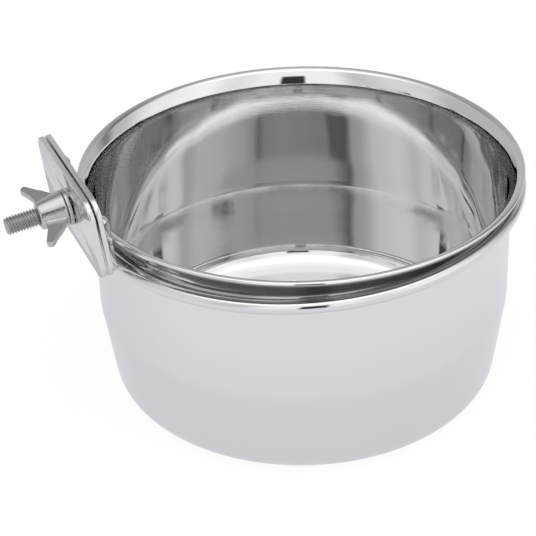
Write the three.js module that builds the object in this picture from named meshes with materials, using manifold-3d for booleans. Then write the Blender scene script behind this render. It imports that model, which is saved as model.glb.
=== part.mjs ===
// A stainless steel pet bowl for hanging on a cage: a deep-drawn bowl that sits in a ring of round wire,
// and on the ring a clamp of two flat plates on a threaded stud, drawn together by a wing nut.
// Millimetres, +Z up. The origin is the middle of the flat base, and the clamp stands on the -X side.

import * as THREE from 'three';
import { mergeVertices } from 'three/addons/utils/BufferGeometryUtils.js';
import Module from 'manifold-3d';

const wasm = await Module();
wasm.setup();

const DEGREE = Math.PI / 180;

// The bowl, drawn from one sheet. Radii of the bends are to the middle of the sheet unless called inside.
const SHEET = 0.7;
const BOWL_HEIGHT = 66.5;
const RIM_RADIUS = 62.3;
const CORNER_INSIDE_RADIUS = 6.3;
const LOWER_BEND_RADIUS = 93;
const LOWER_BEND = 13.4 * DEGREE;
const WALL_TAPER = 1.1 * DEGREE;

// The rim: the wall flares out, runs on straight and ends in a small roll.
const FLARE_RADIUS = 7;
const FLARE_LEAN = 36 * DEGREE;
const FLARE_RUN = 1.5;
const CURL_INSIDE_RADIUS = 0.4;
const CURL_TURN = 250 * DEGREE;

// The ring of round wire that the bowl sits in. It hangs lower on the clamp's side.
const WIRE_RADIUS = 1.8;
const RING_FIT = 0.4;
const RING_TILT = 2.25 * DEGREE;

// The clamp leans out at its top, and its stud passes just above the rim.
const CLAMP_LEAN = 6 * DEGREE;
const STUD_RISE = 3.3;
const SEAT_GAP = 0.15;
const RIM_GAP = 0.8;

// The two jaw plates, alike but for the hole.
const PLATE_WIDTH = 47.5;
const PLATE_HEIGHT = 23.4;
const PLATE_CORNER = 5.6;
const PLATE_THICKNESS = 1.4;
const JAW_GAP = 0.5;

// The two lugs that carry the fixed plate on the ring.
const LUG_THICKNESS = 1.1;
const LUG_WIDTH = 4;
const LUG_RISE = 7.5;

// The stud, a metric coarse thread.
const STUD_DIAMETER = 5;
const STUD_LENGTH = 21;
const THREAD_PITCH = 0.8;
const TIP_CHAMFER = 0.6;
const WELD_CLEARANCE = 0.3;
const SLIDE_CLEARANCE = 0.4;
const THREAD_CLEARANCE = 0.25;

// The washer and the wing nut.
const WASHER_RADIUS = 5;
const WASHER_THICKNESS = 1;
const HUB_BASE_RADIUS = 5;
const HUB_TOP_RADIUS = 4;
const HUB_HEIGHT = 6.5;
const WING_REACH = 11.3;
const WING_HEIGHT = 10.5;
const WING_TIP_RADIUS = 2.5;
const WING_THICKNESS = 1.8;
const WING_ROOT_LOW = 1;
const WING_ROOT_HIGH = 5.6;
const WING_TILT = -11 * DEGREE;

// How finely the round forms are cut.
const BOWL_SEGMENTS = 64;
const WIRE_SEGMENTS = 12;
const STUD_SEGMENTS = 12;
const ROUND_SEGMENTS = 32;
const BEND_STEP = 24 * DEGREE;

// Joining and cutting of closed meshes.

function solidOf(geometry) {
  const bare = geometry.index ? geometry.toNonIndexed() : geometry.clone();
  bare.deleteAttribute('normal');
  bare.deleteAttribute('uv');
  const merged = mergeVertices(bare, 1e-4);
  const corners = merged.index.array;
  const triVerts = [];
  for (let i = 0; i < corners.length; i += 3) {
    const [a, b, c] = [corners[i], corners[i + 1], corners[i + 2]];
    if (a !== b && b !== c && c !== a) {
      triVerts.push(a, b, c);
    }
  }
  const mesh = new wasm.Mesh({
    numProp: 3,
    vertProperties: new Float32Array(merged.attributes.position.array),
    triVerts: new Uint32Array(triVerts),
  });
  return new wasm.Manifold(mesh);
}

function geometryOf(solid) {
  const mesh = solid.getMesh();
  const geometry = new THREE.BufferGeometry();
  geometry.setAttribute('position', new THREE.BufferAttribute(new Float32Array(mesh.vertProperties), 3));
  geometry.setIndex(new THREE.BufferAttribute(new Uint32Array(mesh.triVerts), 1));
  geometry.computeVertexNormals();
  return geometry;
}

// A body of revolution about Z from a profile of [radius, height] pairs that runs up its outer side.
function turned(profile, segments) {
  const points = profile.map(([radius, height]) => new THREE.Vector2(radius, height));
  return new THREE.LatheGeometry(points, segments).rotateX(Math.PI / 2);
}

function disc(inner, outer, bottom, top, segments) {
  return turned([[inner, bottom], [outer, bottom], [outer, top], [inner, top], [inner, bottom]], segments);
}

// The bowl's sheet is followed along its middle, from the centre of the base to the curled edge.

function goStraight(path, run) {
  const last = path.at(-1);
  path.push({
    r: last.r + run * Math.cos(last.heading),
    z: last.z + run * Math.sin(last.heading),
    heading: last.heading,
  });
}

function goRound(path, radius, turn) {
  const start = path.at(-1);
  const side = Math.sign(turn);
  const steps = Math.max(2, Math.ceil(Math.abs(turn) / BEND_STEP));
  for (let step = 1; step <= steps; step += 1) {
    const heading = start.heading + (turn * step) / steps;
    path.push({
      r: start.r + side * radius * (Math.sin(heading) - Math.sin(start.heading)),
      z: start.z - side * radius * (Math.cos(heading) - Math.cos(start.heading)),
      heading,
    });
  }
}

function wallPath(baseRun, wallRun) {
  const path = [{ r: 0, z: SHEET / 2, heading: 0 }];
  goStraight(path, baseRun);
  goRound(path, CORNER_INSIDE_RADIUS + SHEET / 2, Math.PI / 2 - WALL_TAPER - LOWER_BEND);
  goRound(path, LOWER_BEND_RADIUS, LOWER_BEND);
  goStraight(path, wallRun);
  return path;
}

function sheetPath(baseRun, wallRun) {
  const path = wallPath(baseRun, wallRun);
  goRound(path, FLARE_RADIUS, WALL_TAPER - FLARE_LEAN);
  goStraight(path, FLARE_RUN);
  goRound(path, CURL_INSIDE_RADIUS + SHEET / 2, -CURL_TURN);
  return path;
}

// The sheet's face on one side of its middle: +1 is the inside of the bowl, -1 its outside.
function sheetFace(path, side) {
  return path.map(({ r, z, heading }) => [
    r - (side * SHEET * Math.sin(heading)) / 2,
    z + (side * SHEET * Math.cos(heading)) / 2,
  ]);
}

// The top of the roll and its outermost line fix how long the wall and the base are.
const wallHeading = Math.PI / 2 - WALL_TAPER;
const bareFace = sheetFace(sheetPath(0, 0), 1);
const bareTop = Math.max(...bareFace.map(([, z]) => z));
const bareOutside = Math.max(...bareFace.map(([r]) => r));
const wallRun = (BOWL_HEIGHT - bareTop) / Math.sin(wallHeading);
const baseRun = RIM_RADIUS - bareOutside - wallRun * Math.cos(wallHeading);
const bowlPath = sheetPath(baseRun, wallRun);
const outerFace = sheetFace(bowlPath, -1);
const innerFace = sheetFace(bowlPath, 1);
const bowlGeometry = turned([...outerFace, ...innerFace.reverse()], BOWL_SEGMENTS);

// The ring runs round the wall with a clearance of its own. Its high side lies one seat gap under the
// flare, whose outer face is an arc, and from there it slopes down to the clamp.
const wallTop = wallPath(baseRun, wallRun).at(-1);
const ringRadius = wallTop.r + SHEET / 2 + RING_FIT + WIRE_RADIUS;
const ringReach = ringRadius * Math.cos(RING_TILT);
const flareAxisRadius = wallTop.r + FLARE_RADIUS * Math.sin(wallHeading);
const flareAxisHeight = wallTop.z - FLARE_RADIUS * Math.cos(wallHeading);
const flareRoom = FLARE_RADIUS - SHEET / 2 - WIRE_RADIUS - SEAT_GAP;
const ringHigh = flareAxisHeight + Math.sqrt(flareRoom ** 2 - (flareAxisRadius - ringReach) ** 2);
const ringHeight = ringHigh - ringRadius * Math.sin(RING_TILT);
const ringLow = ringHeight - ringRadius * Math.sin(RING_TILT);

// The clamp's own axes: x along the plates, y up them, z out along the stud. Its origin is where the
// stud's axis crosses the fixed plate's inner face. The bowl's rim passes that face with a gap, and the
// plate's foot stands one seat gap off the ring's wire.
const clampAlong = new THREE.Vector3(0, -1, 0);
const clampUp = new THREE.Vector3(-Math.sin(CLAMP_LEAN), 0, Math.cos(CLAMP_LEAN));
const clampOut = new THREE.Vector3(-Math.cos(CLAMP_LEAN), 0, -Math.sin(CLAMP_LEAN));
const reachOf = ([r, z]) => r * Math.cos(CLAMP_LEAN) - z * Math.sin(CLAMP_LEAN);
const rimReach = Math.max(...innerFace.map(reachOf), ...outerFace.map(reachOf));
const studHeight = BOWL_HEIGHT + STUD_RISE;
const rimStand = (rimReach + RIM_GAP + studHeight * Math.sin(CLAMP_LEAN)) / Math.cos(CLAMP_LEAN);
const wireBelow = (studHeight - ringLow) * Math.cos(CLAMP_LEAN) + (rimStand - ringReach) * Math.sin(CLAMP_LEAN);
const footAbove = Math.max(0, wireBelow - PLATE_HEIGHT / 2);
const footStand = Math.sqrt(Math.max(0, (WIRE_RADIUS + SEAT_GAP) ** 2 - footAbove ** 2));
const ringStand = ringReach
  + (footStand + (studHeight - ringLow) * Math.sin(CLAMP_LEAN)) / Math.cos(CLAMP_LEAN);
const clampRadius = Math.max(rimStand, ringStand);

// A jaw plate with its stud hole, its inner face at z = 0.
function jawPlate(holeRadius) {
  const [halfWidth, halfHeight] = [PLATE_WIDTH / 2, PLATE_HEIGHT / 2];
  const [cornerX, cornerY] = [halfWidth - PLATE_CORNER, halfHeight - PLATE_CORNER];
  const outline = new THREE.Shape();
  outline.absarc(cornerX, cornerY, PLATE_CORNER, 0, Math.PI / 2);
  outline.absarc(-cornerX, cornerY, PLATE_CORNER, Math.PI / 2, Math.PI);
  outline.absarc(-cornerX, -cornerY, PLATE_CORNER, Math.PI, 1.5 * Math.PI);
  outline.absarc(cornerX, -cornerY, PLATE_CORNER, 1.5 * Math.PI, 2 * Math.PI);
  outline.closePath();
  const hole = new THREE.Path();
  hole.absarc(0, 0, holeRadius, 0, 2 * Math.PI, true);
  outline.holes.push(hole);
  return new THREE.ExtrudeGeometry(outline, { depth: PLATE_THICKNESS, bevelEnabled: false, curveSegments: 8 });
}

// A lug is an upright strip with a round head in the wedge between the fixed plate and the curving ring.
// Its near edge lies where that wedge is as wide as the lug and its two seat gaps, and its foot stands on
// the upper half of the wire there.
const wedge = WIRE_RADIUS + LUG_THICKNESS + 2 * SEAT_GAP;
const plateReach = clampRadius * Math.cos(CLAMP_LEAN) - (studHeight - ringHeight) * Math.sin(CLAMP_LEAN);
const wireReach = (plateReach - wedge) / Math.cos(CLAMP_LEAN - RING_TILT);
const lugEdge = Math.sqrt(ringRadius ** 2 - wireReach ** 2);
const lugCentre = lugEdge + LUG_WIDTH / 2;
const wireInward = clampRadius - wireReach * Math.cos(RING_TILT);
const wireDown = studHeight - ringHeight + wireReach * Math.sin(RING_TILT);
const wireLevel = -wireInward * Math.sin(CLAMP_LEAN) - wireDown * Math.cos(CLAMP_LEAN);

function lug() {
  const end = LUG_WIDTH / 2;
  const foot = wireLevel + WIRE_RADIUS / 2;
  const head = -STUD_RISE + LUG_RISE - end;
  const outline = new THREE.Shape();
  outline.moveTo(-end, foot);
  outline.lineTo(end, foot);
  outline.absarc(0, head, end, 0, Math.PI);
  outline.closePath();
  const strip = { depth: LUG_THICKNESS, bevelEnabled: false, curveSegments: 8 };
  return new THREE.ExtrudeGeometry(outline, strip).translate(0, 0, -SEAT_GAP - LUG_THICKNESS);
}

// The thread winds round the stud as one ridge: root, flank, crest, flank, in shares of the pitch.
function threadedStud() {
  const crest = STUD_DIAMETER / 2;
  const root = crest - (5 / 16) * THREAD_PITCH * Math.sqrt(3);
  const ridge = [[0, root], [4 / 16, root], [9 / 16, crest], [11 / 16, crest]];
  const turns = Math.ceil(STUD_LENGTH / THREAD_PITCH) + 3;
  const rows = turns * ridge.length;
  const positions = [];
  for (let row = 0; row <= rows + ridge.length; row += 1) {
    const [share, radius] = ridge[row % ridge.length];
    const start = (Math.floor(row / ridge.length) + share - 2) * THREAD_PITCH;
    for (let step = 0; step < STUD_SEGMENTS; step += 1) {
      const angle = (2 * Math.PI * step) / STUD_SEGMENTS;
      const height = start + (THREAD_PITCH * step) / STUD_SEGMENTS;
      positions.push(radius * Math.cos(angle), radius * Math.sin(angle), height);
    }
  }
  const at = (row, step) => (step < STUD_SEGMENTS
    ? row * STUD_SEGMENTS + step
    : (row + ridge.length) * STUD_SEGMENTS);
  const faces = [];
  for (let row = 0; row < rows; row += 1) {
    for (let step = 0; step < STUD_SEGMENTS; step += 1) {
      const [a, b] = [at(row, step), at(row, step + 1)];
      const [c, d] = [at(row + 1, step + 1), at(row + 1, step)];
      faces.push(a, b, c, a, c, d);
    }
  }
  // Each end is closed by a fan from the axis, past the lengths that the trim keeps.
  const bottom = positions.length / 3;
  positions.push(0, 0, -3 * THREAD_PITCH, 0, 0, (turns + 1) * THREAD_PITCH);
  const loopAt = (row) => {
    const loop = [];
    for (let step = 0; step <= STUD_SEGMENTS; step += 1) {
      loop.push(at(row, step));
    }
    for (let below = ridge.length - 1; below > 0; below -= 1) {
      loop.push(at(row + below, 0));
    }
    return loop;
  };
  loopAt(0).forEach((corner, i, loop) => faces.push(loop[(i + 1) % loop.length], corner, bottom));
  loopAt(rows).forEach((corner, i, loop) => faces.push(corner, loop[(i + 1) % loop.length], bottom + 1));
  const geometry = new THREE.BufferGeometry();
  geometry.setAttribute('position', new THREE.BufferAttribute(new Float32Array(positions), 3));
  geometry.setIndex(faces);
  const shoulder = STUD_LENGTH - TIP_CHAMFER;
  const trim = turned([[0, 0], [crest, 0], [crest, shoulder], [crest - TIP_CHAMFER, STUD_LENGTH],
    [0, STUD_LENGTH]], STUD_SEGMENTS * 2);
  return geometryOf(solidOf(geometry).intersect(solidOf(trim)));
}

// A wing stands in the plane of the stud's axis: a blade that rises outward to a round tip.
function wing() {
  const inner = (STUD_DIAMETER / 2 + THREAD_CLEARANCE + HUB_TOP_RADIUS) / 2;
  const tipX = WING_REACH - WING_TIP_RADIUS;
  const tipY = WING_HEIGHT - WING_TIP_RADIUS;
  const outline = new THREE.Shape();
  outline.moveTo(inner, WING_ROOT_LOW);
  outline.lineTo(HUB_BASE_RADIUS, WING_ROOT_LOW);
  outline.absarc(tipX, tipY, WING_TIP_RADIUS, -50 * DEGREE, 125 * DEGREE);
  outline.lineTo(inner, WING_ROOT_HIGH);
  outline.closePath();
  const blade = { depth: WING_THICKNESS, bevelEnabled: false, curveSegments: 8 };
  return new THREE.ExtrudeGeometry(outline, blade).translate(0, 0, -WING_THICKNESS / 2).rotateX(Math.PI / 2);
}

function wingNut() {
  const bore = STUD_DIAMETER / 2 + THREAD_CLEARANCE;
  const profile = [[bore, 0], [HUB_BASE_RADIUS, 0], [HUB_TOP_RADIUS, HUB_HEIGHT], [bore, HUB_HEIGHT], [bore, 0]];
  const hub = solidOf(turned(profile, ROUND_SEGMENTS));
  const near = solidOf(wing());
  const far = solidOf(wing().rotateZ(Math.PI));
  return geometryOf(hub.add(near).add(far));
}

// The pieces, each with its own finish.

function steelPiece(name, geometry, colour, roughness) {
  const material = new THREE.MeshStandardMaterial({ color: colour, roughness, metalness: 1 });
  const mesh = new THREE.Mesh(geometry, material);
  mesh.name = name;
  return mesh;
}

const bowl = steelPiece('bowl', geometryOf(solidOf(bowlGeometry)), 0xd8dadc, 0.12);

const ringGeometry = new THREE.TorusGeometry(ringRadius, WIRE_RADIUS, WIRE_SEGMENTS, BOWL_SEGMENTS);
const ring = steelPiece('ring', geometryOf(solidOf(ringGeometry)), 0xd4d6d8, 0.16);
ring.position.z = ringHeight;
ring.rotation.y = -RING_TILT;

const fixedPlate = steelPiece('fixed_plate', jawPlate(STUD_DIAMETER / 2 + WELD_CLEARANCE), 0xcfd1d3, 0.3);

const lugNear = steelPiece('lug_near', lug(), 0xd2d4d6, 0.3);
lugNear.position.x = lugCentre;

const lugFar = steelPiece('lug_far', lug(), 0xd2d4d6, 0.3);
lugFar.position.x = -lugCentre;

const stud = steelPiece('stud', threadedStud(), 0xa6a8aa, 0.35);

const loosePlate = steelPiece('loose_plate', jawPlate(STUD_DIAMETER / 2 + SLIDE_CLEARANCE), 0xcfd1d3, 0.3);
loosePlate.position.z = PLATE_THICKNESS + JAW_GAP;

const washerSeat = loosePlate.position.z + PLATE_THICKNESS + SEAT_GAP;
const washerBore = STUD_DIAMETER / 2 + SLIDE_CLEARANCE;
const washerGeometry = disc(washerBore, WASHER_RADIUS, 0, WASHER_THICKNESS, ROUND_SEGMENTS);
const washer = steelPiece('washer', geometryOf(solidOf(washerGeometry)), 0xb8babc, 0.35);
washer.position.z = washerSeat;

const wingNutPiece = steelPiece('wing_nut', wingNut(), 0xb4b6b8, 0.32);
wingNutPiece.position.z = washerSeat + WASHER_THICKNESS + SEAT_GAP;
wingNutPiece.rotation.z = WING_TILT;

const clamp = new THREE.Group();
clamp.position.set(-clampRadius, 0, studHeight);
clamp.quaternion.setFromRotationMatrix(new THREE.Matrix4().makeBasis(clampAlong, clampUp, clampOut));
clamp.add(fixedPlate, lugNear, lugFar, stud, loosePlate, washer, wingNutPiece);

const petBowl = new THREE.Group();
petBowl.add(bowl, clamp, ring);

export default petBowl;
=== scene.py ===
import math

import bpy
from mathutils import Matrix


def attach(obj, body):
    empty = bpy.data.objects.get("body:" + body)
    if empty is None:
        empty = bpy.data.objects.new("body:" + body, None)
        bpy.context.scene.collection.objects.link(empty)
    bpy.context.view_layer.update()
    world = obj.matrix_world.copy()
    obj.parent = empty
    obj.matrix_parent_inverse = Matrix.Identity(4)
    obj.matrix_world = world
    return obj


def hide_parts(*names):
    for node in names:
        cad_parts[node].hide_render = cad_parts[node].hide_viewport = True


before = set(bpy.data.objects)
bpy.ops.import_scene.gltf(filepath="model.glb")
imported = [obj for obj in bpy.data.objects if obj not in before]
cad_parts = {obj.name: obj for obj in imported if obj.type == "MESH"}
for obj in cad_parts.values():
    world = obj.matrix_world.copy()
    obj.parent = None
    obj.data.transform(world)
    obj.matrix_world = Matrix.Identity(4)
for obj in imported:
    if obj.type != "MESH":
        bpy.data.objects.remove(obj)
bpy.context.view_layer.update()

# The bowl. One sheet of stainless steel, drawn to a deep cup with a flat base, a tight corner and a crease
# part way up its wall. Its edge flares out and ends in a narrow folded lip. It was polished bright while it
# turned, so its marks run round it.

sheet = 0.0007
bowl_height = 0.0665
rim_radius = 0.0623
corner_radius = 0.0072
cone_run = 0.0203
crease_radius = 0.016
crease_turn = math.radians(7.6)
wall_taper = math.radians(-0.1)
flare_radius = 0.007
flare_lean = math.radians(36)
flare_run = 0.0009
lip_radius = 0.0015
lip_lean = math.radians(70)
lip_run = 0.0005
hem_radius = 0.0004
hem_run = 0.0003


def draw_sheet(base_run, wall_run):
    """The middle of the sheet as (radius, height, heading), from the base's centre to the lip's edge."""
    line = [(0.0, sheet / 2, 0.0)]

    def straight(run, parts):
        r, z, way = line[-1]
        for part in range(1, parts + 1):
            step = run * part / parts
            line.append((r + step * math.cos(way), z + step * math.sin(way), way))

    def bend(radius, turn, parts):
        r, z, way = line[-1]
        side = math.copysign(1, turn)
        for part in range(1, parts + 1):
            now = way + turn * part / parts
            line.append((r + side * radius * (math.sin(now) - math.sin(way)),
                         z - side * radius * (math.cos(now) - math.cos(way)), now))

    straight(base_run, 12)
    bend(corner_radius, math.pi / 2 - wall_taper - crease_turn, 24)
    straight(cone_run, 8)
    bend(crease_radius, crease_turn, 12)
    straight(wall_run, 14)
    bend(flare_radius, wall_taper - flare_lean, 18)
    straight(flare_run, 3)
    bend(lip_radius, flare_lean - lip_lean, 8)
    straight(lip_run, 2)
    bend(hem_radius, -math.pi, 20)
    straight(hem_run, 2)
    return line


def sheet_face(line, side):
    """One face of the sheet: +1 is the inside of the bowl, -1 its outside."""
    return [(max(0.0, r - side * sheet / 2 * math.sin(way)), z + side * sheet / 2 * math.cos(way))
            for r, z, way in line]


def draw_line(name, points):
    """A new object whose mesh is one line, drawn from point to point, left in edit mode."""
    bpy.ops.object.select_all(action="DESELECT")
    bpy.ops.mesh.primitive_plane_add(size=0.001)
    piece = bpy.context.object
    piece.name = piece.data.name = name
    bpy.ops.object.mode_set(mode="EDIT")
    bpy.ops.mesh.select_mode(type="VERT")
    bpy.ops.mesh.select_all(action="SELECT")
    bpy.ops.mesh.merge(type="CENTER")
    bpy.ops.transform.translate(value=points[0])
    for start, end in zip(points, points[1:]):
        step = [high - low for low, high in zip(start, end)]
        bpy.ops.mesh.extrude_region_move(TRANSFORM_OT_translate={"value": step})
    bpy.ops.mesh.select_all(action="SELECT")
    return piece


def turn_on_lathe(name, outline, steps):
    """A turned piece: its half outline of (radius, height) is drawn point by point and spun about Z."""
    piece = draw_line(name, [(r, 0, z) for r, z in outline])
    bpy.ops.mesh.spin(steps=steps, angle=2 * math.pi, center=(0, 0, 0), axis=(0, 0, 1))
    bpy.ops.mesh.select_all(action="SELECT")
    bpy.ops.mesh.remove_doubles(threshold=2e-6)
    bpy.ops.mesh.normals_make_consistent(inside=False)
    bpy.ops.object.mode_set(mode="OBJECT")
    bpy.ops.object.shade_smooth()
    return piece


# The base and the wall take up what the other stretches leave of the rim's radius and the bowl's height.
bare = sheet_face(draw_sheet(0, 0), 1)
wall_run = (bowl_height - max(z for r, z in bare)) / math.cos(wall_taper)
base_run = rim_radius - max(r for r, z in bare) - wall_run * math.sin(wall_taper)
bowl_line = draw_sheet(base_run, wall_run)
edge_r, edge_z, edge_way = bowl_line[-1]
rounded_edge = [(edge_r + sheet / 2 * math.cos(edge_way + math.pi / 2 - turn),
                 edge_z + sheet / 2 * math.sin(edge_way + math.pi / 2 - turn))
                for turn in (math.pi * part / 8 for part in range(1, 8))]
bowl_outline = sheet_face(bowl_line, 1) + rounded_edge + sheet_face(bowl_line, -1)[::-1]
bowl = turn_on_lathe("bowl_shell", bowl_outline, steps=256)


def feed(tree, node, inputs):
    """Sets each input to its value, or links it where the value is another node's output."""
    for socket, value in inputs.items():
        if isinstance(value, bpy.types.NodeSocket):
            tree.links.new(value, node.inputs[socket])
        else:
            node.inputs[socket].default_value = value


def add_node(tree, kind, at, settings=None, inputs=None):
    """A node at a place in the tree, with its settings and its inputs."""
    node = tree.nodes.new(kind)
    node.location = at
    for name, value in (settings or {}).items():
        setattr(node, name, value)
    feed(tree, node, inputs or {})
    return node


def add_math(tree, at, operation, *values):
    """The result of an operation on values, each a number or the output of another node."""
    node = add_node(tree, "ShaderNodeMath", at, {"operation": operation}, dict(enumerate(values)))
    return node.outputs["Value"]


def add_vector_math(tree, at, operation, *values):
    """The result of an operation on vectors, which is a plain number for a length or a dot product."""
    node = add_node(tree, "ShaderNodeVectorMath", at, {"operation": operation}, dict(enumerate(values)))
    return node.outputs["Value" if operation in ("LENGTH", "DOT_PRODUCT") else "Vector"]


def add_step(tree, at, value, start, end, low=0.0, high=1.0):
    """A smooth step from low to high while the value goes from start to end."""
    node = add_node(tree, "ShaderNodeMapRange", at, {"interpolation_type": "SMOOTHSTEP"},
                    {"Value": value, "From Min": start, "From Max": end, "To Min": low, "To Max": high})
    return node.outputs["Result"]


def mix_values(tree, at, share, first, second):
    """A number between the first and the second, by the share of the second."""
    node = add_node(tree, "ShaderNodeMix", at, {"data_type": "FLOAT"},
                    {"Factor": share, "A": first, "B": second})
    return node.outputs["Result"]


def mix_colours(tree, at, share, first, second):
    """A colour between the first and the second. The node keeps its colours at 6 and 7, their mix at 2."""
    node = add_node(tree, "ShaderNodeMix", at, {"data_type": "RGBA"}, {"Factor": share, 6: first, 7: second})
    return node.outputs[2]


# Steel that was ground or polished: fine marks, with soft smears where it was handled. The marks are read
# on stretched coordinates, the smears on plain ones.
steel_marks = bpy.data.node_groups.new("steel_marks", "ShaderNodeTree")
for socket, kind in (("Marks", "Vector"), ("Place", "Vector"), ("Steel", "Color"), ("Worn", "Color"),
                     ("Smooth", "Float"), ("Rough", "Float"), ("Smear Size", "Float")):
    steel_marks.interface.new_socket(socket, in_out="INPUT", socket_type="NodeSocket" + kind)
for socket, kind in (("Colour", "Color"), ("Roughness", "Float"), ("Height", "Float")):
    steel_marks.interface.new_socket(socket, in_out="OUTPUT", socket_type="NodeSocket" + kind)
given = add_node(steel_marks, "NodeGroupInput", (-900, 0)).outputs
fine = add_node(steel_marks, "ShaderNodeTexNoise", (-650, 200), None,
                {"Vector": given["Marks"], "Scale": 1.0, "Detail": 3.0, "Roughness": 0.6}).outputs["Fac"]
smear = add_node(steel_marks, "ShaderNodeTexNoise", (-650, -150), None,
                 {"Vector": given["Place"], "Scale": given["Smear Size"], "Detail": 4.0,
                  "Roughness": 0.55}).outputs["Fac"]
wear = mix_values(steel_marks, (-400, 50), 0.55, fine, smear)
tone = mix_colours(steel_marks, (-150, 250), wear, given["Steel"], given["Worn"])
finish = add_node(steel_marks, "ShaderNodeMapRange", (-150, -50), None,
                  {"Value": wear, "From Min": 0.3, "From Max": 0.7, "To Min": given["Smooth"],
                   "To Max": given["Rough"]}).outputs["Result"]
add_node(steel_marks, "NodeGroupOutput", (150, 0), None,
         {"Colour": tone, "Roughness": finish, "Height": fine})

bowl_steel = bpy.data.materials.new("bowl_steel_polished")
bowl_steel.use_nodes = True
tree = bowl_steel.node_tree
place = add_node(tree, "ShaderNodeTexCoord", (-1700, 0)).outputs
spot = add_node(tree, "ShaderNodeSeparateXYZ", (-1300, -100), None, {0: place["Object"]}).outputs
flat = add_vector_math(tree, (-1300, 150), "MULTIPLY", place["Object"], (1, 1, 0))
around = add_vector_math(tree, (-1100, 250), "NORMALIZE", flat)
radius = add_vector_math(tree, (-1100, 50), "LENGTH", flat)

# The marks change fast from the base's middle to the lip, and slowly round the bowl.
marks_per_metre = 4500
marks_round = (5, 5, 0)
outward = add_math(tree, (-900, 0), "ADD", radius, spot["Z"])
outward_marks = add_math(tree, (-750, 0), "MULTIPLY", outward, marks_per_metre)
wound = add_node(tree, "ShaderNodeCombineXYZ", (-600, 0), None, {"Z": outward_marks}).outputs["Vector"]
turned_marks = add_vector_math(tree, (-450, 200), "MULTIPLY_ADD", around, marks_round, wound)
marks = add_node(tree, "ShaderNodeGroup", (-300, 0), {"node_tree": steel_marks},
                 {"Marks": turned_marks, "Place": place["Object"], "Steel": (0.78, 0.78, 0.785, 1),
                  "Worn": (0.75, 0.752, 0.76, 1), "Smooth": 0.01, "Rough": 0.028, "Smear Size": 60.0}).outputs

# The base was spun to a coarser finish than the wall, with streaks that run out from its middle.
wall_foot = 0.0035
base_top = 0.0012
base_roughness = 0.16
on_base = add_step(tree, (-900, -400), spot["Z"], wall_foot, base_top)
streaks = add_node(tree, "ShaderNodeTexNoise", (-900, -650), None,
                   {"Vector": around, "Scale": 9.0, "Detail": 3.0, "Roughness": 0.6}).outputs["Fac"]
coarse = add_math(tree, (-600, -450), "MULTIPLY", streaks, on_base)
spun = add_math(tree, (-100, -100), "MULTIPLY_ADD", coarse, base_roughness, marks["Roughness"])

# Painted shade: the groove under the lip is painted dark grey for the shade that falls between the lip
# and the ring, but not beside the clamp. The painted band is also a little rougher.
groove_foot = 0.0605
groove_top = 0.0656
lip_foot = 0.0661
groove_unshaded_foot = 0.0662
groove_unshaded_until = -0.058
groove_shaded_from = -0.044
groove_shade_roughness = 0.25
way_out = add_vector_math(tree, (-900, -900), "DOT_PRODUCT", place["Normal"], around)
outside = add_step(tree, (-650, -900), way_out, 0.1, 0.4)
groove_shade_foot = add_step(tree, (-1100, -1150), spot["X"], groove_unshaded_until, groove_shaded_from, groove_unshaded_foot, groove_foot)
over_foot = add_math(tree, (-900, -1150), "SUBTRACT", spot["Z"], groove_shade_foot)
groove_shade_low = add_step(tree, (-650, -1150), over_foot, -0.0003, 0.0008)
groove_shade_high = add_step(tree, (-650, -1400), spot["Z"], lip_foot, groove_top)
groove_shade_band = add_math(tree, (-400, -1000), "MULTIPLY", groove_shade_low, groove_shade_high)
painted_groove_shade = add_math(tree, (-200, -1000), "MULTIPLY", groove_shade_band, outside)
# The painted shade: the groove band's colour is mixed towards a dark grey.
groove_shaded_colour = mix_colours(tree, (0, 250), painted_groove_shade, marks["Colour"], (0.24, 0.24, 0.25, 1))
dulled = add_math(tree, (50, -100), "MULTIPLY_ADD", painted_groove_shade, groove_shade_roughness, spun)

# The drawn sheet ripples very slightly, so its reflections waver.
ripple_place = add_node(tree, "ShaderNodeMapping", (-900, -1650), None,
                        {"Vector": place["Object"], "Scale": (75, 75, 28)}).outputs["Vector"]
ripple = add_node(tree, "ShaderNodeTexNoise", (-650, -1650), None,
                  {"Vector": ripple_place, "Scale": 1.0, "Detail": 1.0, "Roughness": 0.4}).outputs["Fac"]
rippled = add_node(tree, "ShaderNodeBump", (-300, -500), None,
                   {"Strength": 1.0, "Distance": 0.00013, "Height": ripple}).outputs["Normal"]
scored = add_node(tree, "ShaderNodeBump", (-50, -350), None,
                  {"Strength": 0.03, "Distance": 0.0001, "Height": marks["Height"],
                   "Normal": rippled}).outputs["Normal"]
feed(tree, tree.nodes["Principled BSDF"],
     {"Metallic": 1.0, "Anisotropic": 0.4, "Anisotropic Rotation": 0.25, "Base Color": groove_shaded_colour,
      "Roughness": dulled, "Normal": scored})
bowl.data.materials.append(bowl_steel)
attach(bowl, "bowl")
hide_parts("bowl")

# The ring. A length of bright drawn steel wire, bent to a circle round the bowl's wall, under the lip, and
# welded shut. It hangs a little lower on the clamp's side.

wire_radius = 0.0018
ring_radius = 0.060936
ring_height = 0.059503
ring_tilt = math.radians(2.25)
wire_section = [(ring_radius + wire_radius * math.cos(turn), wire_radius * math.sin(turn))
                for turn in (2 * math.pi * part / 40 for part in range(41))]
ring = turn_on_lathe("wire_ring", wire_section, steps=256)
ring.location.z = ring_height
ring.rotation_euler.y = -ring_tilt
bpy.ops.object.transform_apply(location=True, rotation=True, scale=True)


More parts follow.
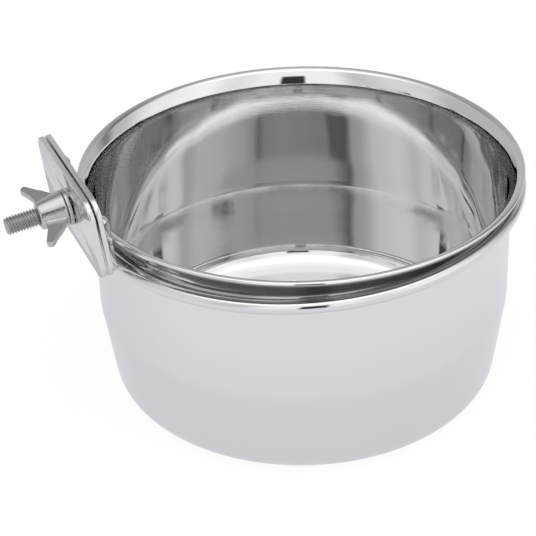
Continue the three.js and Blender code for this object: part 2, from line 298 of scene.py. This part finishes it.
def mark_steel(name, grain, finish, relief, relief_depth):
    """A steel whose marks follow the grain, a number to the metre along each axis, with its own finish."""
    steel = bpy.data.materials.new(name)
    steel.use_nodes = True
    tree = steel.node_tree
    place = add_node(tree, "ShaderNodeTexCoord", (-900, 0)).outputs
    along_grain = add_node(tree, "ShaderNodeMapping", (-650, 150), None,
                           {"Vector": place["Object"], "Scale": grain}).outputs["Vector"]
    marks = add_node(tree, "ShaderNodeGroup", (-300, 0), {"node_tree": steel_marks},
                     {"Marks": along_grain, "Place": place["Object"], **finish}).outputs
    scored = add_node(tree, "ShaderNodeBump", (-50, -250), None,
                      {"Strength": relief, "Distance": relief_depth,
                       "Height": marks["Height"]}).outputs["Normal"]
    feed(tree, tree.nodes["Principled BSDF"],
         {"Metallic": 1.0, "Base Color": marks["Colour"], "Roughness": marks["Roughness"], "Normal": scored})
    return steel


ring_finish = {"Steel": (0.77, 0.77, 0.775, 1), "Worn": (0.72, 0.722, 0.73, 1), "Smooth": 0.05,
               "Rough": 0.11, "Smear Size": 140.0}
ring_steel = mark_steel("ring_steel_drawn", (600, 600, 2600), ring_finish,
                        relief=0.05, relief_depth=0.0001)
ring.data.materials.append(ring_steel)
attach(ring, "holder")
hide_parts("ring")

# The two jaw plates. Flat blanks punched from stainless strip, with round corners and a hole for the
# stud, tumbled so that their edges are soft. The inner one is welded on, the outer one is loose.

clamp_lean = math.radians(6)
clamp_radius = 0.06375707
stud_height = 0.0698
# The clamp's own axes: x along the plates, y up them, z out along the stud.
clamp_frame = Matrix(((0, -math.sin(clamp_lean), -math.cos(clamp_lean), -clamp_radius),
                      (-1, 0, 0, 0),
                      (0, math.cos(clamp_lean), -math.sin(clamp_lean), stud_height),
                      (0, 0, 0, 1)))


def seat_on_clamp(piece):
    """Moves a piece that was made on the clamp's own axes to its place, and fixes it in its mesh."""
    bpy.ops.object.select_all(action="DESELECT")
    piece.select_set(True)
    bpy.context.view_layer.objects.active = piece
    piece.matrix_world = clamp_frame @ piece.matrix_world
    bpy.ops.object.transform_apply(location=True, rotation=True, scale=True)


def apply_modifier(piece, name, kind, **settings):
    """Adds a modifier to the piece, sets it and applies it."""
    modifier = piece.modifiers.new(name, kind)
    for setting, value in settings.items():
        setattr(modifier, setting, value)
    bpy.ops.object.select_all(action="DESELECT")
    piece.select_set(True)
    bpy.context.view_layer.objects.active = piece
    bpy.ops.object.modifier_apply(modifier=name)


def select_edges(piece, wanted):
    """Goes into edit mode with only those edges selected whose two ends the test wants."""
    bpy.ops.object.mode_set(mode="EDIT")
    bpy.ops.mesh.select_mode(type="EDGE")
    bpy.ops.mesh.select_all(action="DESELECT")
    bpy.ops.object.mode_set(mode="OBJECT")
    for edge in piece.data.edges:
        edge.select = wanted(*(piece.data.vertices[end].co for end in edge.vertices))
    bpy.ops.object.mode_set(mode="EDIT")


plate_width = 0.0475
plate_height = 0.0234
plate_corner = 0.0056
plate_thickness = 0.0014
fixed_seat = 0.0
loose_seat = 0.0019
fixed_hole = 0.0028
loose_hole = 0.0029


def punch_plate(name, inner_face, hole_radius):
    """A jaw plate whose inner face lies at the given place along the stud."""
    bpy.ops.object.select_all(action="DESELECT")
    bpy.ops.mesh.primitive_cube_add(size=1, location=(0, 0, inner_face + plate_thickness / 2))
    plate = bpy.context.object
    plate.name = plate.data.name = name
    plate.scale = (plate_width, plate_height, plate_thickness)
    bpy.ops.object.transform_apply(location=True, rotation=True, scale=True)
    select_edges(plate, lambda low, high: abs(low.z - high.z) > plate_thickness / 2)
    bpy.ops.mesh.bevel(offset=plate_corner, segments=14)
    bpy.ops.object.mode_set(mode="OBJECT")
    bpy.ops.object.select_all(action="DESELECT")
    bpy.ops.mesh.primitive_cylinder_add(vertices=64, radius=hole_radius, depth=0.01,
                                        location=(0, 0, inner_face))
    punch = bpy.context.object
    apply_modifier(plate, "stud hole", "BOOLEAN", operation="DIFFERENCE", object=punch, solver="EXACT")
    bpy.data.objects.remove(punch)
    apply_modifier(plate, "tumbled edges", "BEVEL", width=0.00028, segments=4, limit_method="ANGLE",
                   angle_limit=math.radians(50), harden_normals=True)
    bpy.ops.object.shade_smooth_by_angle(angle=math.radians(35))
    seat_on_clamp(plate)
    return plate


fixed_plate = punch_plate("fixed_jaw_plate", fixed_seat, fixed_hole)
loose_plate = punch_plate("loose_jaw_plate", loose_seat, loose_hole)
plate_finish = {"Steel": (0.77, 0.772, 0.78, 1), "Worn": (0.71, 0.713, 0.722, 1), "Smooth": 0.09,
                "Rough": 0.17, "Smear Size": 180.0}
plate_steel = mark_steel("plate_steel_satin", (4000, 250, 4000), plate_finish,
                         relief=0.03, relief_depth=0.0001)
for plate, body, node in ((fixed_plate, "holder", "fixed_plate"), (loose_plate, "jaw", "loose_plate")):
    plate.data.materials.append(plate_steel)
    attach(plate, body)
    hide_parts(node)

# The two lugs. Short upright lengths of half-round bar with domed heads, set in the wedges between the
# inner plate and the curving ring, their flat sides to the plate, and welded to both. The far one was set
# with its head a little higher.

lug_width = 0.004
lug_middle = 0.016199
lug_foot = -0.012129
near_head = 0.0042
far_head = 0.0061
lug_back = -0.00285
lug_front = -0.00015
dome_steps = 8
dome_end = 0.02


def cut_lug(name, along, head):
    """A lug whose middle line stands at the given place along the plate, up to the height of its head."""
    half = lug_width / 2
    thick = lug_front - lug_back
    bar_section = [(along + half * math.cos(turn), lug_foot, lug_front - thick * math.sin(turn))
                   for turn in (math.pi * part / 20 for part in range(21))]
    lug = draw_line(name, bar_section)
    bpy.ops.mesh.edge_face_add()
    bpy.ops.mesh.extrude_region_move(TRANSFORM_OT_translate={"value": (0, head - half - lug_foot, 0)})
    for step in range(dome_steps):
        below = math.pi / 2 * step / dome_steps
        above = math.pi / 2 * (step + 1) / dome_steps
        rise = math.sin(above) - math.sin(below)
        shrink = max(math.cos(above), dome_end) / math.cos(below)
        bpy.ops.mesh.extrude_region_move(TRANSFORM_OT_translate={"value": (0, half * rise, 0)})
        bpy.ops.transform.resize(value=(shrink, 1, shrink), center_override=(along, 0, lug_front))
    bpy.ops.mesh.select_all(action="SELECT")
    bpy.ops.mesh.normals_make_consistent(inside=False)
    bpy.ops.object.mode_set(mode="OBJECT")
    apply_modifier(lug, "tumbled edges", "BEVEL", width=0.00018, segments=3, limit_method="ANGLE",
                   angle_limit=math.radians(50), harden_normals=True)
    bpy.ops.object.shade_smooth_by_angle(angle=math.radians(35))
    seat_on_clamp(lug)
    return lug


near_lug = cut_lug("near_lug", lug_middle, near_head)
far_lug = cut_lug("far_lug", -lug_middle, far_head)
for lug, node in ((near_lug, "lug_near"), (far_lug, "lug_far")):
    lug.data.materials.append(plate_steel)
    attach(lug, "holder")
    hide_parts(node)

# The stud. A length of rolled M5 rod, welded into the inner plate, with a chamfered tip. The thread is
# one ridge that winds along it, duller than the plates.

stud_radius = 0.0025
stud_length = 0.021
stud_tip = 0.0019
tip_chamfer = 0.0007
thread_pitch = 0.0008
thread_depth = 5 / 16 * thread_pitch * math.sqrt(3)
thread_root = stud_radius - thread_depth
thread_turns = 31
# The thread starts below the stud's foot and ends past its tip, and is then trimmed to a turned blank.
thread_start = -2 * thread_pitch
blank_radius = 0.0026
# The ridge as (share of the depth, share of the pitch), with its crest and root rounded.
ridge = [(0.0, 0.0), (0.0, 0.2), (0.06, 0.26), (0.94, 0.53), (1.0, 0.59), (1.0, 0.66), (0.94, 0.72),
         (0.06, 0.98), (0.0, 1.0)]
ridge_line = [(thread_root + depth * thread_depth, 0, thread_start + share * thread_pitch)
              for depth, share in ridge]
stud = draw_line("threaded_stud", ridge_line)
bpy.ops.object.mode_set(mode="OBJECT")
apply_modifier(stud, "thread", "SCREW", axis="Z", angle=2 * math.pi, screw_offset=thread_pitch,
               iterations=thread_turns, steps=32, render_steps=32, use_merge_vertices=True,
               merge_threshold=1e-6)
bpy.ops.object.mode_set(mode="EDIT")
bpy.ops.mesh.select_all(action="SELECT")
bpy.ops.mesh.remove_doubles(threshold=2e-6)
bpy.ops.mesh.fill_holes(sides=0)
bpy.ops.mesh.select_all(action="SELECT")
bpy.ops.mesh.normals_make_consistent(inside=False)
bpy.ops.object.mode_set(mode="OBJECT")
blank_outline = [(0, 0), (blank_radius, 0), (blank_radius, stud_length - tip_chamfer),
                 (stud_tip, stud_length), (0, stud_length)]
blank = turn_on_lathe("stud_trim", blank_outline, steps=64)
apply_modifier(stud, "ends", "BOOLEAN", operation="INTERSECT", object=blank, solver="EXACT")
bpy.data.objects.remove(blank)
bpy.ops.object.shade_smooth_by_angle(angle=math.radians(30))
seat_on_clamp(stud)
stud_finish = {"Steel": (0.56, 0.565, 0.575, 1), "Worn": (0.36, 0.365, 0.375, 1), "Smooth": 0.18,
               "Rough": 0.4, "Smear Size": 500.0}
stud_steel = mark_steel("stud_steel_rolled", (2500, 900, 2500), stud_finish,
                        relief=0.2, relief_depth=0.00005)
stud.data.materials.append(stud_steel)
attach(stud, "holder")
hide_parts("stud")

# The washer. A plain punched disc between the outer plate and the nut, its edges rounded by the punch.
# It slides along the stud with the nut, and both are of the same tumbled steel.

washer_seat = 0.00345
washer_bore = 0.0029
washer_radius = 0.005
washer_thickness = 0.001
ease = 0.00015
eased = 0.3 * ease
washer_outline = [(washer_bore + ease, 0), (washer_radius - ease, 0), (washer_radius - eased, eased),
                  (washer_radius, ease), (washer_radius, washer_thickness - ease),
                  (washer_radius - eased, washer_thickness - eased), (washer_radius - ease, washer_thickness),
                  (washer_bore + ease, washer_thickness), (washer_bore, washer_thickness - ease),
                  (washer_bore, ease), (washer_bore + ease, 0)]
washer = turn_on_lathe("washer_disc", [(r, washer_seat + z) for r, z in washer_outline], steps=96)
bpy.ops.object.shade_smooth_by_angle(angle=math.radians(50))
seat_on_clamp(washer)
nut_finish = {"Steel": (0.66, 0.665, 0.675, 1), "Worn": (0.4, 0.405, 0.415, 1), "Smooth": 0.07,
              "Rough": 0.2, "Smear Size": 320.0}
nut_steel = mark_steel("nut_steel_tumbled", (1800, 1800, 1800), nut_finish,
                       relief=0.25, relief_depth=0.00008)
washer.data.materials.append(nut_steel)
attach(washer, "slider")
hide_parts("washer")

# The wing nut. Forged in one piece: a tapering hub with a bore for the stud, and two leaf-shaped wings
# that rise outward to small round tips. Tumbled, so every edge and root is soft.

nut_seat = 0.0046
nut_bore = 0.00275
nut_turn = math.radians(-11)
hub_height = 0.0074
hub_foot = 0.005
foot_round = 0.0002
taper_foot = (0.00495, 0.0005)
hub_top = 0.0038
chamfer = 0.0003
hub_outline = [(nut_bore + chamfer, 0), (hub_foot - foot_round, 0), (hub_foot, foot_round), taper_foot,
               (hub_top, hub_height - chamfer), (hub_top - chamfer, hub_height),
               (nut_bore + chamfer, hub_height), (nut_bore, hub_height - chamfer), (nut_bore, chamfer),
               (nut_bore + chamfer, 0)]
wing_nut = turn_on_lathe("wing_nut_forged", [(r, nut_seat + z) for r, z in hub_outline], steps=64)
wing_reach = 0.0122
wing_height = 0.0086
wing_tip = 0.0011
wing_thickness = 0.0016
tip_r = wing_reach - wing_tip
tip_z = wing_height - wing_tip
# A wing's outline as (radius, height): along its lower edge, round its tip and back along its upper edge.
wing_outline = [(0.0034, 0.0006), (0.0049, 0.0007), (0.0066, 0.0016), (0.0085, 0.0034), (0.0103, 0.0053)]
wing_outline += [(tip_r + wing_tip * math.cos(turn), tip_z + wing_tip * math.sin(turn))
                 for turn in (math.radians(-42 + 150 * part / 12) for part in range(13))]
wing_outline += [(0.009, 0.0078), (0.0072, 0.007), (0.0055, 0.0065), (0.0034, 0.0064)]
for turn in (0, math.pi):
    wing = draw_line("wing", [(r, -wing_thickness / 2, nut_seat + z) for r, z in wing_outline])
    bpy.ops.mesh.edge_face_add()
    bpy.ops.mesh.extrude_region_move(TRANSFORM_OT_translate={"value": (0, wing_thickness, 0)})
    bpy.ops.mesh.select_all(action="SELECT")
    bpy.ops.mesh.normals_make_consistent(inside=False)
    bpy.ops.object.mode_set(mode="OBJECT")
    wing.rotation_euler.z = turn
    bpy.ops.object.transform_apply(location=True, rotation=True, scale=True)
    apply_modifier(wing_nut, "wing", "BOOLEAN", operation="UNION", object=wing, solver="EXACT")
    bpy.data.objects.remove(wing)
apply_modifier(wing_nut, "one body", "REMESH", mode="VOXEL", voxel_size=0.00016)
apply_modifier(wing_nut, "tumbled", "SMOOTH", factor=0.5, iterations=8)
bpy.ops.object.shade_smooth()
wing_nut.rotation_euler.z = nut_turn
bpy.ops.object.transform_apply(location=True, rotation=True, scale=True)
seat_on_clamp(wing_nut)
wing_nut.data.materials.append(nut_steel)
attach(wing_nut, "nut")
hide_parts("wing_nut")

# The floor. A sheet of white paper, lit evenly. In the steel it shows white too, with a painted shadow close
# under the bowl, and a little dimmer towards the back.

bpy.ops.object.select_all(action="DESELECT")
bpy.ops.mesh.primitive_plane_add(size=6, location=(0, 0, -0.0002))
floor = bpy.context.object
floor.name = "floor"
floor_white = bpy.data.materials.new("floor_white")
floor_white.use_nodes = True
tree = floor_white.node_tree
tree.nodes.remove(tree.nodes["Principled BSDF"])
rays = add_node(tree, "ShaderNodeLightPath", (-900, 300)).outputs
place = add_node(tree, "ShaderNodeTexCoord", (-1300, -300)).outputs["Object"]
spot = add_node(tree, "ShaderNodeSeparateXYZ", (-1100, -500), None, {0: place}).outputs
paper = add_node(tree, "ShaderNodeBsdfDiffuse", (-400, 100), None,
                 {"Color": (0.9, 0.9, 0.9, 1)}).outputs["BSDF"]
glow = add_node(tree, "ShaderNodeEmission", (-400, -100), None, {"Strength": 1.04}).outputs["Emission"]
glow_share = add_math(tree, (-400, 300), "MULTIPLY", rays["Is Camera Ray"], 0.88)
seen = add_node(tree, "ShaderNodeMixShader", (-100, 0), None, {"Fac": glow_share, 1: paper, 2: glow})
away = add_vector_math(tree, (-1100, -300), "LENGTH", place)
# A painted shadow: the floor's reflection is darker close under the bowl.
painted_bowl_shadow = add_step(tree, (-900, -300), away, 0.05, 0.13, 0.78, 0.9)
back = add_step(tree, (-900, -550), spot["Y"], -0.05, 0.2, 1.0, 0.78)
white = add_math(tree, (-650, -400), "MULTIPLY", painted_bowl_shadow, back)
mirrored = add_node(tree, "ShaderNodeEmission", (-400, -300), None,
                    {"Color": (0.98, 0.985, 1.02, 1), "Strength": white}).outputs["Emission"]
either = add_node(tree, "ShaderNodeMixShader", (150, 0), None,
                  {"Fac": rays["Is Glossy Ray"], 1: seen.outputs["Shader"], 2: mirrored})
feed(tree, tree.nodes["Material Output"], {"Surface": either.outputs["Shader"]})
floor.data.materials.append(floor_white)

# The light. A soft white tent stands round the table: bright panels to the left and to the right of the
# camera, a narrow dark gap on the right, a dimmer back, and a bright roof on the camera's side. The camera
# itself shows in the steel as a small dark shape.

world = bpy.data.worlds.new("studio")
bpy.context.scene.world = world
world.use_nodes = True
tree = world.node_tree
place = add_node(tree, "ShaderNodeTexCoord", (-1900, 0)).outputs["Generated"]
way = add_node(tree, "ShaderNodeSeparateXYZ", (-1700, 0), None, {0: place}).outputs

# The panels as (bearing in degrees, brightness). The bearing is 0 towards the front and grows to the right.
panel_stops = ((-180, 0.42), (-162, 0.38), (-154, 0.24), (-146, 0.5), (-130, 0.66), (-105, 0.8), (-80, 0.85),
               (-58, 0.7), (-42, 1.1), (-5, 1.1), (12, 0.95), (33, 1.15), (62, 1.05), (92, 0.6), (103, 0.16),
               (117, 0.16), (128, 0.36), (158, 0.4), (180, 0.42))
toward = add_math(tree, (-1500, 200), "MULTIPLY", way["Y"], -1)
bearing = add_math(tree, (-1300, 250), "ARCTAN2", way["X"], toward)
turn_share = add_node(tree, "ShaderNodeMapRange", (-1100, 250), None,
                      {"Value": bearing, "From Min": -math.pi, "From Max": math.pi}).outputs["Result"]
panels = add_node(tree, "ShaderNodeValToRGB", (-900, 250), None, {"Fac": turn_share})
ramp = panels.color_ramp
ramp.interpolation = "EASE"
for degrees, _ in panel_stops[1:-1]:
    ramp.elements.new((degrees + 180) / 360)
for stop, (_, brightness) in zip(ramp.elements, panel_stops):
    stop.color = (brightness, brightness, brightness, 1)

# Low down, the back of the tent is one even wall.
back_wall = 0.58
low = add_step(tree, (-1100, 550), way["Z"], 0.72, 0.4)
back = add_step(tree, (-1100, 800), way["Y"], 0.1, 0.45)
low_back = add_math(tree, (-900, 600), "MULTIPLY", low, back)
walls = mix_values(tree, (-650, 250), low_back, panels.outputs["Color"], back_wall)

# The roof closes in over the panels, and the tent dims a little towards the horizon.
roof_side = add_vector_math(tree, (-1500, -200), "DOT_PRODUCT", place, (-0.39, -0.92, 0))
roof = add_step(tree, (-1300, -200), roof_side, -0.6, 0.1, 0.45, 1.4)
steep = add_step(tree, (-1300, -450), way["Z"], 0.7, 0.92)
tent = mix_values(tree, (-500, 0), steep, walls, roof)
above = add_step(tree, (-900, -450), way["Z"], -0.02, 0.1, 0.9, 1.0)
lit = add_math(tree, (-350, -100), "MULTIPLY", tent, above)

# The camera's dark shape, with soft edges, by its bearing and its height over the horizon.
dark_bearing = math.radians(-20)
dark_half_width = math.radians(7)
dark_height = 0.27
dark_half_height = 0.35
aside = add_math(tree, (-1100, -700), "SUBTRACT", bearing, dark_bearing)
aside_share = add_math(tree, (-900, -700), "DIVIDE", aside, dark_half_width)
aside_size = add_math(tree, (-700, -700), "ABSOLUTE", aside_share)
upward = add_math(tree, (-1100, -900), "SUBTRACT", way["Z"], dark_height)
upward_share = add_math(tree, (-900, -900), "DIVIDE", upward, dark_half_height)
upward_size = add_math(tree, (-700, -900), "ABSOLUTE", upward_share)
spread = add_math(tree, (-500, -800), "MAXIMUM", aside_size, upward_size)
shade = add_step(tree, (-300, -800), spread, 0.8, 1.15, 0.04, 1.0)
shaded = add_math(tree, (-200, -200), "MULTIPLY", lit, shade)
rays = add_node(tree, "ShaderNodeLightPath", (-400, 400)).outputs
strength = mix_values(tree, (0, 100), rays["Is Camera Ray"], shaded, 1.0)
feed(tree, tree.nodes["Background"], {"Color": (1, 1, 1, 1), "Strength": strength})

# The camera. It stands at the photograph's viewing angle, with a long lens. The polished cup mirrors itself
# many times over, so light may bounce more often than it does by default.

camera_data = bpy.data.cameras.new("camera")
camera = bpy.data.objects.new("camera", camera_data)
bpy.context.scene.collection.objects.link(camera)
camera_data.sensor_width = 36
camera_data.lens = 116.2136
camera_data.clip_start = 0.01
camera.location = (-0.16559036, -0.39010643, 0.29914031)
camera.rotation_euler = [math.radians(turn) for turn in (57.769579, 1.778684, -22.764657)]
bpy.context.scene.camera = camera
bpy.context.scene.cycles.max_bounces = 16
bpy.context.scene.cycles.glossy_bounces = 12

bpy.context.scene.view_settings.view_transform = "Standard"
